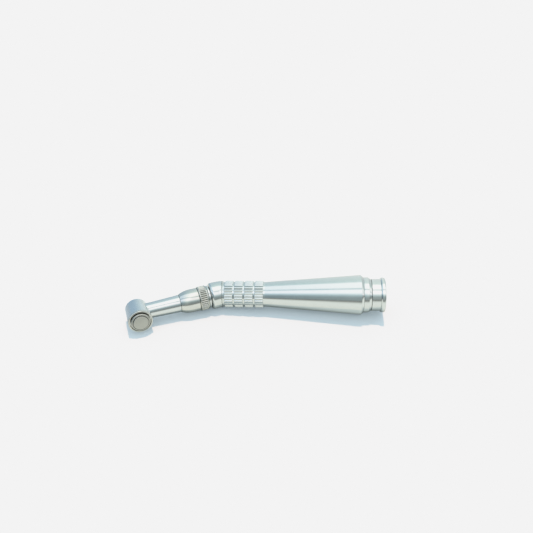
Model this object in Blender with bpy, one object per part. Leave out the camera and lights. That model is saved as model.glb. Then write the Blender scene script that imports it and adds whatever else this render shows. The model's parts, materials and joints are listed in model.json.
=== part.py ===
"""Dental contra angle handpiece lying on its side, modelled piece by piece.

Three turning axes meet in pairs: the handle axis and the neck axis cross at the bend,
the neck axis and the head axis cross in the middle of the head. Every piece is made about
its own axis, in millimetres, and hangs from an empty that stands on that axis.
"""
import math

import bmesh
import bpy
from mathutils import Matrix, Vector

MM = 0.001

# Driving dimensions, in millimetres and degrees
BEND_ANGLE = 25.2           # between the handle axis and the neck axis
HEAD_OFFSET = 33.6          # from the bend to the head axis, along the neck
HANDLE_END = 66.3           # rear face of the coupling, from the bend
SHEATH_END = 57.8           # rear face of the sheath
SHEATH_RADIUS = 8.0         # widest place of the handle
CONE_START = 18.6           # where the handle starts to widen
CONE_END = 56.9             # where it is widest
BAND_RADIUS = 5.4           # grip bands and shoulder
GROOVE_RADIUS = 5.15
CONE_RADIUS = 5.05
GROOVE_WIDTH = 0.6
GROOVE_FIRST = 1.9          # centre of the first grip groove
GROOVE_PITCH = 4.1
GROOVE_COUNT = 4
SHOULDER_END = 4.35         # front face of the sheath, along the neck
HEAD_RADIUS = 4.69
HEAD_TOP = 5.58             # top of the head housing, along the head axis
HEAD_BOTTOM = -3.67
NOSE_BOTTOM = -5.1
BUTTON_TOP = 7.53
BUTTON_RADIUS = 3.68
SOCKET_RADIUS = 5.3         # bore that slides over the motor's nose
SOCKET_START = 44.2
DRIVE_SHAFT_RADIUS = 1.5
NECK_SHAFT_RADIUS = 1.0
SPINDLE_RADIUS = 1.4
BUR_RADIUS = 0.8
FIT = 0.04                  # radial clearance of a fixed fit
RUNNING_FIT = 0.06          # radial clearance of a turning fit
CROSS_PIN_HOLE = 0.5        # radius of the hole for the pin that holds the dog
INDEX_PIN_HOLE = 0.32       # radius of the hole for the pin that keeps the neck from turning
SHAFT_SIDES = 16
WIRE_SIDES = 4
GEAR_HEIGHTS = (0.8, 1.05)  # addendum and dedendum, in modules
TOOTH_THICKNESS = 0.19      # half a tooth at the pitch line, as a part of the pitch
PRESSURE_ANGLE = 25.0

SHOULDER_ROUND = 0.85       # length of the rounded front end of the sheath
HEAD_ROUND = 0.44           # height of the rounded lower edge of the head

STEEL = (0.74, 0.75, 0.76)
WARM_NICKEL = (0.62, 0.60, 0.56)
DARK_STEEL = (0.42, 0.43, 0.45)
BRONZE = (0.65, 0.50, 0.30)
RUBBER = (0.03, 0.03, 0.03)


# ---------------------------------------------------------------- frames
def empty(name, parent, matrix):
    """An empty whose own axes are the columns of matrix."""
    frame = bpy.data.objects.new(name, None)
    bpy.context.scene.collection.objects.link(frame)
    frame.parent = parent
    frame.matrix_local = matrix
    return frame


def axis_matrix(origin, z_axis, x_axis):
    """A frame at origin (mm) with the given Z and X directions."""
    columns = [x_axis, z_axis.cross(x_axis), z_axis]
    matrix = Matrix([[c[row] for c in columns] for row in range(3)]).to_4x4()
    return Matrix.Translation(origin * MM) @ matrix


def resting_turn(to_head, to_button):
    """How the handpiece lies on a table: on its rear rim, its shoulder and its head."""
    rim = Vector((CONE_END, 0, -SHEATH_RADIUS))
    shoulder = to_head * (SHOULDER_END - SHOULDER_ROUND) - Vector((0, 0, BAND_RADIUS))
    head = to_head * HEAD_OFFSET + to_button * (HEAD_BOTTOM + HEAD_ROUND)
    head -= Vector((0, 0, HEAD_RADIUS))
    table = (shoulder - rim).cross(head - rim)
    return table.rotation_difference(Vector((0, 0, 1))).to_matrix().to_4x4()


def make_frames():
    """Empties on the resting object and on its handle, neck and head axes."""
    bend = math.radians(BEND_ANGLE)
    rearward = Vector((1, 0, 0))
    inward = Vector((0, -1, 0))
    to_head = Vector((-math.cos(bend), -math.sin(bend), 0))
    to_button = Vector((math.sin(bend), -math.cos(bend), 0))
    body = empty("body", None, resting_turn(to_head, to_button))
    return {
        "body": body,
        "handle": empty("handle_axis", body, axis_matrix(Vector(), rearward, inward)),
        "neck": empty("neck_axis", body, axis_matrix(Vector(), to_head, to_button)),
        "head": empty("head_axis", body, axis_matrix(to_head * HEAD_OFFSET, to_button, -to_head)),
    }


# ---------------------------------------------------------------- mesh tools
def material(name, colour, roughness, metallic):
    """A Principled material of the piece's own."""
    mat = bpy.data.materials.new(name)
    mat.use_nodes = True
    shader = mat.node_tree.nodes["Principled BSDF"]
    shader.inputs["Base Color"].default_value = (*colour, 1)
    shader.inputs["Roughness"].default_value = roughness
    shader.inputs["Metallic"].default_value = metallic
    return mat


def add_piece(name, frame, bm, colour, roughness=0.25, metallic=1.0):
    """Turn a bmesh in millimetres into a named object that hangs from frame."""
    bmesh.ops.remove_doubles(bm, verts=bm.verts, dist=1e-4)
    bmesh.ops.dissolve_degenerate(bm, edges=bm.edges, dist=1e-4)
    bmesh.ops.recalc_face_normals(bm, faces=bm.faces)
    bmesh.ops.scale(bm, vec=(MM, MM, MM), verts=bm.verts)
    mesh = bpy.data.meshes.new(name)
    bm.to_mesh(mesh)
    bm.free()
    mesh.shade_smooth()
    mesh.set_sharp_from_angle(angle=math.radians(35))
    obj = bpy.data.objects.new(name, mesh)
    bpy.context.scene.collection.objects.link(obj)
    obj.parent = frame
    mesh.materials.append(material(name, colour, roughness, metallic))
    return obj


def loft(sections, ring=True):
    """Skin closed loops of points, one after the other, into a bmesh.

    A ring's last loop joins its first; otherwise both ends are capped.
    """
    bm = bmesh.new()
    loops = [[bm.verts.new(point) for point in section] for section in sections]
    pairs = list(zip(loops, loops[1:] + loops[:1])) if ring else list(zip(loops, loops[1:]))
    for near, far in pairs:
        for i in range(len(near)):
            j = (i + 1) % len(near)
            bm.faces.new((near[i], near[j], far[j], far[i]))
    if not ring:
        bm.faces.new(loops[0])
        bm.faces.new(loops[-1])
    return bm


def turned(profile, sides):
    """Spin a closed outline of (radius, height) points about the Z axis."""
    bm = bmesh.new()
    verts = [bm.verts.new((r, 0, z)) for r, z in profile]
    edges = [bm.edges.new((a, b)) for a, b in zip(verts, verts[1:] + verts[:1])]
    bmesh.ops.spin(
        bm, geom=verts + edges, cent=(0, 0, 0), axis=(0, 0, 1), angle=math.tau, steps=sides
    )
    return bm


def bored(radius, sides):
    """Corner radius of a bore whose flats, not corners, lie on the given radius."""
    return radius / math.cos(math.pi / sides)


def tube_profile(inner, outer, low, high, chamfer=0.0):
    """Outline of a plain ring with its outer edges chamfered."""
    if not chamfer:
        return [(inner, low), (outer, low), (outer, high), (inner, high)]
    return [
        (inner, low),
        (outer - chamfer, low),
        (outer, low + chamfer),
        (outer, high - chamfer),
        (outer - chamfer, high),
        (inner, high),
    ]


def o_ring(radius, height, wire, sides):
    """Spin a round section about the axis."""
    turns = [math.tau * i / 6 for i in range(6)]
    return turned([(radius + wire * math.cos(t), height + wire * math.sin(t)) for t in turns], sides)


def wire_section(radius, angle, height, wire):
    """The section of a wire that is bent round the axis."""
    section = []
    for k in range(WIRE_SIDES):
        turn = math.tau * k / WIRE_SIDES
        out = radius + wire * math.cos(turn)
        up = height + wire * math.sin(turn)
        section.append(Vector((out * math.cos(angle), out * math.sin(angle), up)))
    return section


def coil(radius, low, high, wire, turns, points_per_turn=8):
    """A round wire wound into a compression spring."""
    sections = []
    count = turns * points_per_turn
    for i in range(count + 1):
        height = low + wire + (high - low - 2 * wire) * i / count
        sections.append(wire_section(radius, math.tau * i / points_per_turn, height, wire))
    return loft(sections, ring=False)


def round_rod(radius, length, place, sides):
    """A plain rod or drill along the Z axis of place."""
    rod = bmesh.new()
    bmesh.ops.create_cone(
        rod, cap_ends=True, segments=sides, radius1=radius, radius2=radius, depth=length, matrix=place
    )
    return rod


def crosswise(y, z):
    """A place on the axis's YZ plane that lies along Y."""
    return Matrix.Translation((0, y, z)) @ Matrix.Rotation(math.radians(90), 4, "X")


def boolean(obj, frame, tool_bm, operation):
    """Cut or join obj with a hidden tool shape given in the frame's millimetres."""
    bmesh.ops.remove_doubles(tool_bm, verts=tool_bm.verts, dist=1e-4)
    bmesh.ops.recalc_face_normals(tool_bm, faces=tool_bm.faces)
    bmesh.ops.scale(tool_bm, vec=(MM, MM, MM), verts=tool_bm.verts)
    mesh = bpy.data.meshes.new(obj.name + "_tool")
    tool_bm.to_mesh(mesh)
    tool_bm.free()
    tool = bpy.data.objects.new(mesh.name, mesh)
    bpy.context.scene.collection.objects.link(tool)
    tool.parent = frame
    tool.hide_render = True
    tool.display_type = "WIRE"
    modifier = obj.modifiers.new(operation.lower(), "BOOLEAN")
    modifier.object = tool
    modifier.operation = operation
    modifier.solver = "EXACT"


# ---------------------------------------------------------------- bent sheath
def bent_point(station, radius, angle):
    """A point of the bent body: station > 0 on the handle, < 0 on the neck, 0 on the mitre.

    angle 0 is the inner side of the bend, 90 degrees is up.
    """
    bend = math.radians(BEND_ANGLE)
    inner = radius * math.cos(angle)
    up = radius * math.sin(angle)
    if station < 0:
        x = station * math.cos(bend) + inner * math.sin(bend)
        y = station * math.sin(bend) - inner * math.cos(bend)
        return Vector((x, y, up))
    if station == 0:
        return Vector((inner * math.tan(bend / 2), -inner, up))
    return Vector((station, -inner, up))


def sheath_outline():
    """(station, radius) points of the sheath, along the outside and back through the bore."""
    half = GROOVE_WIDTH / 2
    wall = 0.05
    outside = [
        (-SHOULDER_END, 4.75),
        (-SHOULDER_END + 0.12, 5.05),
        (-SHOULDER_END + 0.4, 5.28),
        (-SHOULDER_END + SHOULDER_ROUND, BAND_RADIUS),
        (0, BAND_RADIUS),
    ]
    for i in range(GROOVE_COUNT):
        centre = GROOVE_FIRST + i * GROOVE_PITCH
        outside += [
            (centre - half, BAND_RADIUS),
            (centre - half + wall, GROOVE_RADIUS),
            (centre + half - wall, GROOVE_RADIUS),
            (centre + half, BAND_RADIUS),
        ]
    outside += [
        (CONE_START - GROOVE_WIDTH, BAND_RADIUS),
        (CONE_START - GROOVE_WIDTH + wall, CONE_RADIUS),
        (CONE_START, CONE_RADIUS),
        (CONE_END, SHEATH_RADIUS),
        (SHEATH_END, 7.3),
    ]
    bore = [
        (SHEATH_END, 6.16),
        (43.5, 6.16),
        (43.5, 5.46),
        (32.5, 5.46),
        (32.5, 4.3),
        (6.8, 4.3),
        (6.8, 3.65),
        (0, 3.65),
        (-1.8, 3.65),
        (-1.8, 4.38),
        (-SHOULDER_END, 4.38),
    ]
    return outside + bore


def make_sheath(frames):
    """The handle's shell, bent at its front end."""
    sides = 32
    outline = sheath_outline()
    sections = []
    for i in range(sides):
        angle = math.tau * i / sides
        sections.append([bent_point(s, r, angle) for s, r in outline])
    add_piece("sheath_body", frames["body"], loft(sections), STEEL, 0.3)


# ---------------------------------------------------------------- bearings
def make_bearing(name, frame, low, width, bore, outer, balls, ball_radius):
    """Outer race, inner race, and a cage with its balls, as three pieces."""
    sides = 16
    middle = low + width / 2
    pitch = (bore + outer) / 2
    groove = ball_radius + RUNNING_FIT
    turns = [math.radians(a) for a in (-50, 0, 50)]
    lip = groove * math.cos(turns[-1])
    outer_race = [(bored(pitch + lip, sides), low), (outer, low), (outer, low + width)]
    outer_race.append((bored(pitch + lip, sides), low + width))
    inner_race = [(pitch - lip, low + width), (bored(bore, sides), low + width)]
    inner_race += [(bored(bore, sides), low), (pitch - lip, low)]
    for t in reversed(turns):
        outer_race.append((bored(pitch + groove * math.cos(t), sides), middle + groove * math.sin(t)))
    for t in turns:
        inner_race.append((pitch - groove * math.cos(t), middle + groove * math.sin(t)))
    add_piece(name + "_outer_race", frame, turned(outer_race, sides), STEEL, 0.15)
    add_piece(name + "_inner_race", frame, turned(inner_race, sides), STEEL, 0.15)
    half = (0.22 * ball_radius, 0.6 * ball_radius)
    band = tube_profile(bored(pitch - half[0], sides), pitch + half[0], middle - half[1], middle + half[1])
    cage = add_piece(name + "_cage", frame, turned(band, sides), BRONZE, 0.3)
    tool = bmesh.new()
    for i in range(balls):
        angle = math.tau * i / balls
        place = Vector((pitch * math.cos(angle), pitch * math.sin(angle), middle))
        bmesh.ops.create_uvsphere(
            tool, u_segments=6, v_segments=4, radius=ball_radius, matrix=Matrix.Translation(place)
        )
    boolean(cage, frame, tool, "UNION")


# ---------------------------------------------------------------- gears
def bevel_gear(teeth, cone_angle, cone_in, cone_out, bore, hub, back, half_turned):
    """A straight bevel gear whose pitch cone has its tip at the frame's origin.

    cone_in and cone_out bound the teeth along the cone, hub is the radius of the back of
    the gear and back is its height. half_turned starts the ring with a gap, not a tooth.
    """
    cone = math.radians(cone_angle)
    module = 2 * cone_out * math.sin(cone) / teeth
    tip = GEAR_HEIGHTS[0] * module
    root = -GEAR_HEIGHTS[1] * module
    spread = math.tan(math.radians(PRESSURE_ANGLE)) / (math.pi * module)
    half_tip = TOOTH_THICKNESS - tip * spread
    half_root = TOOTH_THICKNESS - root * spread

    def on_cone(length, height):
        scaled = height * length / cone_out
        return (
            length * math.sin(cone) + scaled * math.cos(cone),
            length * math.cos(cone) - scaled * math.sin(cone),
        )

    sections = []
    for i in range(teeth):
        middle = i + (0.5 if half_turned else 0.0)
        for offset, height in (
            (-half_root, root), (-half_tip, tip), (half_tip, tip), (half_root, root)
        ):
            angle = math.tau * (middle + offset) / teeth
            inner_root = on_cone(cone_in, root)
            outer_root = on_cone(cone_out, root)
            outline = [
                (bore, inner_root[1]),
                inner_root,
                on_cone(cone_in, height),
                on_cone(cone_out, height),
                outer_root,
                (hub, back),
                (bore, back),
            ]
            sections.append([
                Vector((r * math.cos(angle), r * math.sin(angle), z)) for r, z in outline
            ])
    return loft(sections)


# ---------------------------------------------------------------- handle
def make_rear_coupling(frames):
    """The tube that slides over the motor's nose, with its latch wire and O-ring."""
    sides = 32
    frame = frames["handle"]
    bore = bored(SOCKET_RADIUS, sides)
    outline = [
        (bore, SOCKET_START),
        (6.1, SOCKET_START),
        (6.1, SHEATH_END + 0.05),
        (7.05, SHEATH_END + 0.05),
        (7.05, 59.8),
        (6.4, 60.9),
        (6.4, 64.6),
        (6.8, 64.7),
        (6.95, 64.9),
        (6.95, HANDLE_END - 0.15),
        (6.8, HANDLE_END),
        (bore + 0.3, HANDLE_END),
        (bore, HANDLE_END - 0.3),
    ]
    for low, high in ((62.1, 63.0), (55.7, 56.5)):
        outline += [(bore, high), (5.8, high), (5.8, low), (bore, low)]
    add_piece("rear_coupling", frame, turned(outline, sides), STEEL, 0.28)
    add_piece("coupling_o_ring", frame, o_ring(5.41, 62.55, 0.34, sides), RUBBER, 0.6, 0.0)
    gap = math.radians(30)
    steps = 22
    wire = []
    for i in range(steps + 1):
        angle = gap / 2 + (math.tau - gap) * i / steps
        wire.append(wire_section(5.42, angle, 56.1, 0.3))
    add_piece("latch_ring", frame, loft(wire, ring=False), DARK_STEEL)


def make_handle_internals(frames):
    """Bearing housing, bearings, spacer, spring washer and retainer around the drive shaft."""
    sides = SHAFT_SIDES
    frame = frames["handle"]
    race = 4.2
    seat = bored(race + FIT, 24)
    add_piece("shaft_housing", frame, turned(tube_profile(seat, 5.4, 32.6, 43.4, 0.3), 24), STEEL)
    make_bearing("front_bearing", frame, 7.0, 3.0, DRIVE_SHAFT_RADIUS + FIT, race, 6, 0.75)
    make_bearing("rear_bearing", frame, 34.0, 3.0, DRIVE_SHAFT_RADIUS + FIT, race, 6, 0.75)
    spacer = tube_profile(3.55, race, 10.1, 33.9)
    add_piece("spacer_tube", frame, turned(spacer, sides), STEEL)
    retainer = tube_profile(bored(2.7, sides), race, 38.2, 39.8, 0.2)
    add_piece("housing_retainer", frame, turned(retainer, sides), DARK_STEEL)
    washer = turned(tube_profile(3.1, 4.1, 37.45, 37.65), sides)
    for vert in washer.verts:
        vert.co.z += 0.25 * math.sin(3 * math.atan2(vert.co.y, vert.co.x))
    add_piece("preload_spring", frame, washer, DARK_STEEL)


def make_drive_line(frames):
    """The shaft in the handle with its bend gear and the dog that the motor turns."""
    sides = SHAFT_SIDES
    frame = frames["handle"]
    radius = DRIVE_SHAFT_RADIUS
    bore = bored(radius + FIT, 56)
    shaft = [
        (0, 1.5),
        (radius, 1.5),
        (radius, 3.3),
        (2.0, 3.3),
        (2.0, 6.9),
        (radius, 6.9),
        (radius, 40.5),
        (0, 40.5),
    ]
    shaft_piece = add_piece("drive_shaft", frame, turned(shaft, sides), STEEL)
    gear = bevel_gear(14, 90 - BEND_ANGLE / 2, 1.95, 2.75, bore, 2.2, 3.2, False)
    add_piece("drive_gear", frame, gear, DARK_STEEL, 0.35)
    dog_bore = bored(radius + FIT, sides)
    outline = [
        (dog_bore, 37.2),
        (1.9, 37.2),
        (2.2, 37.5),
        (2.2, 43.5),
        (1.9, 43.8),
        (dog_bore, 43.8),
    ]
    dog = add_piece("drive_dog", frame, turned(outline, sides), STEEL)
    slot = bmesh.new()
    bmesh.ops.create_cube(slot, size=1.0)
    bmesh.ops.scale(slot, vec=(1.3, 6.0, 3.0), verts=slot.verts)
    bmesh.ops.translate(slot, vec=(0, 0, 43.3), verts=slot.verts)
    boolean(dog, frame, slot, "DIFFERENCE")
    pin_place = crosswise(0, 39.2)
    for piece in (dog, shaft_piece):
        boolean(piece, frame, round_rod(CROSS_PIN_HOLE, 6.0, pin_place, 12), "DIFFERENCE")
    pin = round_rod(CROSS_PIN_HOLE - 0.05, 4.2, pin_place, 12)
    add_piece("dog_pin", frame, pin, DARK_STEEL)


# ---------------------------------------------------------------- neck
def make_neck_joint(frames):
    """The threaded nose, the knurled lock ring, and the sleeve that the ring clamps."""
    sides = 28
    frame = frames["neck"]
    nose = [
        (3.3, 1.95),
        (4.32, 1.95),
        (4.32, 4.4),
        (4.4, 4.45),
        (4.55, 4.6),
        (4.55, 5.45),
        (4.45, 5.58),
        (4.0, 5.58),
        (4.0, 8.45),
        (3.7, 8.45),
        (3.7, 5.8),
        (3.3, 5.8),
    ]
    nose_piece = add_piece("threaded_nose", frame, turned(nose, sides), STEEL, 0.15)
    thread = bored(4.0 + RUNNING_FIT, sides)
    ring = [
        (thread, 5.66),
        (4.65, 5.66),
        (4.9, 5.85),
        (4.9, 9.0),
        (4.7, 9.22),
        (3.72, 9.22),
        (3.72, 8.98),
        (thread, 8.98),
    ]
    add_piece("lock_ring", frame, turned(ring, sides), WARM_NICKEL, 0.35)
    sleeve = [
        (2.86, 5.9),
        (3.6, 5.9),
        (3.6, 6.35),
        (3.25, 6.35),
        (3.25, 6.85),
        (3.6, 6.85),
        (3.6, 8.52),
        (3.95, 8.52),
        (3.95, 8.9),
        (3.62, 8.9),
        (3.62, 9.32),
        (4.6, 9.36),
        (4.7, 9.5),
        (4.7, 11.5),
        (4.5, 14.1),
        (4.06, 15.85),
        (3.62, 16.85),
        (3.1, 16.85),
        (3.1, 11.0),
        (2.3, 11.0),
        (2.3, 8.9),
        (2.86, 8.9),
    ]
    sleeve_piece = add_piece("neck_sleeve", frame, turned(sleeve, sides), STEEL, 0.15)
    add_piece("spigot_o_ring", frame, o_ring(3.44, 6.6, 0.19, sides), RUBBER, 0.6, 0.0)
    for piece in (sleeve_piece, nose_piece):
        drill = round_rod(INDEX_PIN_HOLE, 1.6, crosswise(3.9, 7.6), 10)
        boolean(piece, frame, drill, "DIFFERENCE")
    pin = round_rod(INDEX_PIN_HOLE - 0.05, 0.75, crosswise(3.58, 7.6), 10)
    add_piece("index_pin", frame, pin, DARK_STEEL)


def make_neck(frames):
    """The neck tube and the shaft that runs through it to the head."""
    sides = 32
    frame = frames["neck"]
    bore = bored(2.0, sides)
    tube = [
        (bore, 11.1),
        (3.05, 11.1),
        (3.05, 16.92),
        (3.49, 16.92),
        (3.42, 19.5),
        (3.13, 28.0),
        (3.13, 32.0),
        (bore, 32.0),
    ]
    tube_piece = add_piece("neck_tube", frame, turned(tube, sides), STEEL, 0.15)
    barrel = turned(tube_profile(0, HEAD_RADIUS + 0.03, -8, 8), 48)
    boolean(tube_piece, frames["head"], barrel, "DIFFERENCE")
    shaft_bore = NECK_SHAFT_RADIUS + FIT
    make_bearing("neck_bearing", frame, 7.0, 1.8, shaft_bore, 2.8, 6, 0.48)
    retainer = tube_profile(bored(1.7, SHAFT_SIDES), 2.8, 6.0, 6.8)
    add_piece("neck_retainer", frame, turned(retainer, SHAFT_SIDES), DARK_STEEL)
    shaft = [
        (0, 1.5),
        (NECK_SHAFT_RADIUS, 1.5),
        (NECK_SHAFT_RADIUS, 3.1),
        (1.45, 3.1),
        (1.45, 6.9),
        (NECK_SHAFT_RADIUS, 6.9),
        (NECK_SHAFT_RADIUS, 31.6),
        (0, 31.6),
    ]
    add_piece("neck_shaft", frame, turned(shaft, SHAFT_SIDES), STEEL)
    gear = bevel_gear(
        14, 90 - BEND_ANGLE / 2, 1.95, 2.75, bored(shaft_bore, 56), 1.9, 3.0, True
    )
    add_piece("neck_gear", frame, gear, DARK_STEEL, 0.35)
    bush = tube_profile(bored(NECK_SHAFT_RADIUS + RUNNING_FIT, SHAFT_SIDES), 1.94, 27.0, 30.1)
    add_piece("pinion_bush", frame, turned(bush, SHAFT_SIDES), BRONZE)


# ---------------------------------------------------------------- head
def make_head(frames):
    """The head housing with its cap ring and the nose ring that holds the lower bearing."""
    sides = 32
    frame = frames["head"]
    housing = [
        (bored(2.5, sides), NOSE_BOTTOM),
        (2.6, NOSE_BOTTOM),
        (2.8, NOSE_BOTTOM + 0.2),
        (2.8, HEAD_BOTTOM - 0.2),
        (2.95, HEAD_BOTTOM),
        (4.25, HEAD_BOTTOM),
        (4.56, HEAD_BOTTOM + 0.13),
        (HEAD_RADIUS, HEAD_BOTTOM + HEAD_ROUND),
        (HEAD_RADIUS, HEAD_TOP),
        (bored(4.0, sides), HEAD_TOP),
        (bored(4.0, sides), 3.06),
        (bored(3.86, sides), 3.06),
        (bored(3.86, sides), -2.7),
        (bored(2.5, sides), -2.7),
    ]
    head = add_piece("head_housing", frame, turned(housing, sides), STEEL, 0.2)
    side_hole = turned(tube_profile(0, bored(2.0, sides), 26.0, 31.5), sides)
    boolean(head, frames["neck"], side_hole, "DIFFERENCE")
    lip = BUTTON_RADIUS + 0.08
    cap = [
        (lip, 5.3),
        (3.95, 5.3),
        (3.95, HEAD_TOP + 0.06),
        (HEAD_RADIUS - 0.06, HEAD_TOP + 0.06),
        (HEAD_RADIUS, HEAD_TOP + 0.12),
        (HEAD_RADIUS, 6.4),
        (4.55, 6.57),
        (4.25, 6.57),
        (4.15, 6.45),
        (4.15, 5.8),
        (lip, 5.8),
    ]
    add_piece("head_cap", frame, turned(cap, sides), WARM_NICKEL, 0.2)
    ring = tube_profile(bored(1.7, SHAFT_SIDES), 2.45, -5.05, -4.05)
    add_piece("nose_ring", frame, turned(ring, SHAFT_SIDES), DARK_STEEL)


def make_spindle_line(frames):
    """The hollow spindle with its gear, its two bearings and the chuck inside it."""
    frame = frames["head"]
    radius = SPINDLE_RADIUS
    bore = radius + FIT
    make_bearing("lower_bearing", frame, -3.95, 1.2, bore, 2.45, 7, 0.3)
    make_bearing("upper_bearing", frame, 3.1, 1.05, bore, 3.95, 8, 0.4)
    hollow = 1.12
    spindle = [
        (hollow, -4.95),
        (radius - 0.1, -4.95),
        (radius, -4.85),
        (radius, -2.7),
        (1.85, -2.7),
        (1.85, -2.4),
        (radius, -2.4),
        (radius, 4.4),
        (radius - 0.1, 4.5),
        (hollow, 4.5),
    ]
    add_piece("spindle", frame, turned(spindle, SHAFT_SIDES), STEEL)
    gear = bevel_gear(10, 45, 2.45, 3.2, bored(bore, 40), 2.3, 3.04, True)
    add_piece("spindle_gear", frame, gear, DARK_STEEL, 0.35)
    jaws = turned(tube_profile(BUR_RADIUS, hollow - RUNNING_FIT, -4.9, -0.5), SHAFT_SIDES)
    collet = add_piece("chuck_collet", frame, jaws, STEEL)
    slots = bmesh.new()
    for i in range(3):
        spot = Matrix.Rotation(math.tau * i / 3, 4, "Z") @ Matrix.Translation((1.0, 0, -3.3))
        bmesh.ops.create_cube(slots, size=1.0, matrix=spot @ Matrix.Diagonal((1.0, 0.2, 3.4, 1)))
    boolean(collet, frame, slots, "DIFFERENCE")
    add_piece("chuck_spring", frame, coil(0.85, -0.4, 3.3, 0.16, 5), DARK_STEEL)


def make_head_pinion(frames):
    """The pinion at the end of the neck shaft. Its cone has its tip on the head axis."""
    frame = frames["neck"]
    bore = bored(NECK_SHAFT_RADIUS + FIT, 40)
    pinion = bevel_gear(10, 45, 2.45, 3.2, bore, 1.75, 3.05, False)
    flip = Matrix.Translation((0, 0, HEAD_OFFSET)) @ Matrix.Rotation(math.pi, 4, "Y")
    bmesh.ops.rotate(pinion, cent=(0, 0, 0), matrix=Matrix.Rotation(math.pi, 3, "Z"), verts=pinion.verts)
    bmesh.ops.transform(pinion, matrix=flip, verts=pinion.verts)
    add_piece("head_pinion", frame, pinion, DARK_STEEL, 0.35)


def make_button(frames):
    """The push button that opens the chuck, with its plunger, spring and spring seat."""
    sides = 32
    frame = frames["head"]
    button = [
        (0, BUTTON_TOP),
        (0, 6.7),
        (3.15, 6.7),
        (3.15, 5.0),
        (3.92, 5.0),
        (3.92, 5.22),
        (BUTTON_RADIUS, 5.22),
        (BUTTON_RADIUS, 7.0),
        (BUTTON_RADIUS - 0.1, 7.16),
        (3.0, BUTTON_TOP),
    ]
    add_piece("push_button", frame, turned(button, sides), WARM_NICKEL, 0.45)
    plunger = [
        (0, 6.66),
        (0, 4.85),
        (0.6, 4.85),
        (0.8, 5.05),
        (0.8, 6.3),
        (1.6, 6.3),
        (1.6, 6.66),
    ]
    add_piece("button_plunger", frame, turned(plunger, SHAFT_SIDES), DARK_STEEL)
    add_piece("button_spring", frame, coil(2.4, 4.4, 6.66, 0.16, 3, 10), DARK_STEEL)
    seat = tube_profile(bored(2.0, SHAFT_SIDES), 3.95, 4.19, 4.35)
    add_piece("spring_seat", frame, turned(seat, SHAFT_SIDES), DARK_STEEL)


def stand_over_origin(body):
    """Move the whole object so that the middle of its base is at the origin."""
    bpy.context.view_layer.update()
    pieces = [o for o in bpy.data.objects if o.type == "MESH" and not o.hide_render]
    corners = [p.matrix_world @ v.co for p in pieces for v in p.data.vertices]
    low = Vector([min(c[i] for c in corners) for i in range(3)])
    high = Vector([max(c[i] for c in corners) for i in range(3)])
    middle = (low + high) / 2
    body.location = (-middle.x, -middle.y, -low.z)


def main():
    for obj in list(bpy.data.objects):
        bpy.data.objects.remove(obj, do_unlink=True)
    frames = make_frames()
    make_sheath(frames)
    make_rear_coupling(frames)
    make_handle_internals(frames)
    make_drive_line(frames)
    make_neck_joint(frames)
    make_neck(frames)
    make_head(frames)
    make_spindle_line(frames)
    make_head_pinion(frames)
    make_button(frames)
    stand_over_origin(frames["body"])


main()
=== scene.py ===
import json
import math

import bmesh
import bpy
from mathutils import Matrix, Vector, geometry


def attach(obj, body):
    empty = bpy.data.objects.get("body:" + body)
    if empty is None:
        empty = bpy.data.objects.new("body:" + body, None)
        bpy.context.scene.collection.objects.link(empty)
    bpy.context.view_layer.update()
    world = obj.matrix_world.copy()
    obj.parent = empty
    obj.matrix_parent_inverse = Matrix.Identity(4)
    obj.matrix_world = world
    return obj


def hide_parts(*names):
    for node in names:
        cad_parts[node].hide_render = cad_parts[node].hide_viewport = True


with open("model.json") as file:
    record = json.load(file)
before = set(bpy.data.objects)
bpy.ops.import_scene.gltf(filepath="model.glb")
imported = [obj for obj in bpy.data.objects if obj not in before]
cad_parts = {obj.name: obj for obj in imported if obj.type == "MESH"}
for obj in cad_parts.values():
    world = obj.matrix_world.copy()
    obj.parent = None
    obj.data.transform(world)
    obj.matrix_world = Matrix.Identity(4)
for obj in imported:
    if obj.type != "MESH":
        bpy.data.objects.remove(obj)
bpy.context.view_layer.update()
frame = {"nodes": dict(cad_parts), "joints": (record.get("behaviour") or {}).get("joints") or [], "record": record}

MM = 0.001
ROUND_STEPS = 4             # faces across a rounded edge
FINE_SIDES = 192            # sides of the large turned pieces
SMALL_SIDES = 96            # sides of the small ones
SHARP_ANGLE = 40.0          # edges that turn by more than this are shaded sharp, in degrees
WELD = 1e-4                 # points closer than this become one
SAME_PLACE = 0.01           # two places on an outline are the same within this
NEARLY_STRAIGHT = math.radians(179)
FILLET_SHARE = 0.48         # the most of an edge that the rounding at one end may use up


# ---------------------------------------------------------------- the three axes
def joint_line(name):
    """A point on a joint's axis and its direction."""
    joint = next(j for j in frame["joints"] if j["name"] == name)
    return Vector(joint["pos_m"]), Vector(joint["axis"]).normalized()


def axis_matrix(origin, z_axis, x_axis):
    """A place with the given Z and X directions."""
    columns = (x_axis, z_axis.cross(x_axis), z_axis)
    turn = Matrix([[column[row] for column in columns] for row in range(3)]).to_4x4()
    return Matrix.Translation(origin) @ turn


handle_point, rearward = joint_line("drive_shaft_spin")
neck_point, to_head = joint_line("neck_shaft_spin")
head_centre, to_button = joint_line("spindle_spin")
bend_point = geometry.intersect_line_line(
    handle_point, handle_point + rearward, neck_point, neck_point + to_head
)[0]
upward = to_head.cross(to_button).normalized()
inward = rearward.cross(upward)
BEND = math.acos(max(-1.0, min(1.0, -rearward.dot(to_head))))

HANDLE = axis_matrix(bend_point, rearward, inward)
NECK = axis_matrix(bend_point, to_head, to_button)
HEAD = axis_matrix(head_centre, to_button, -to_head)
BODY = axis_matrix(bend_point, upward, rearward)     # X rearward, Y away from the bend, Z up


# ---------------------------------------------------------------- shader nodes
NOISE_SPAN = (0.3, 0.7)     # nearly all values of a noise texture lie between these


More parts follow.
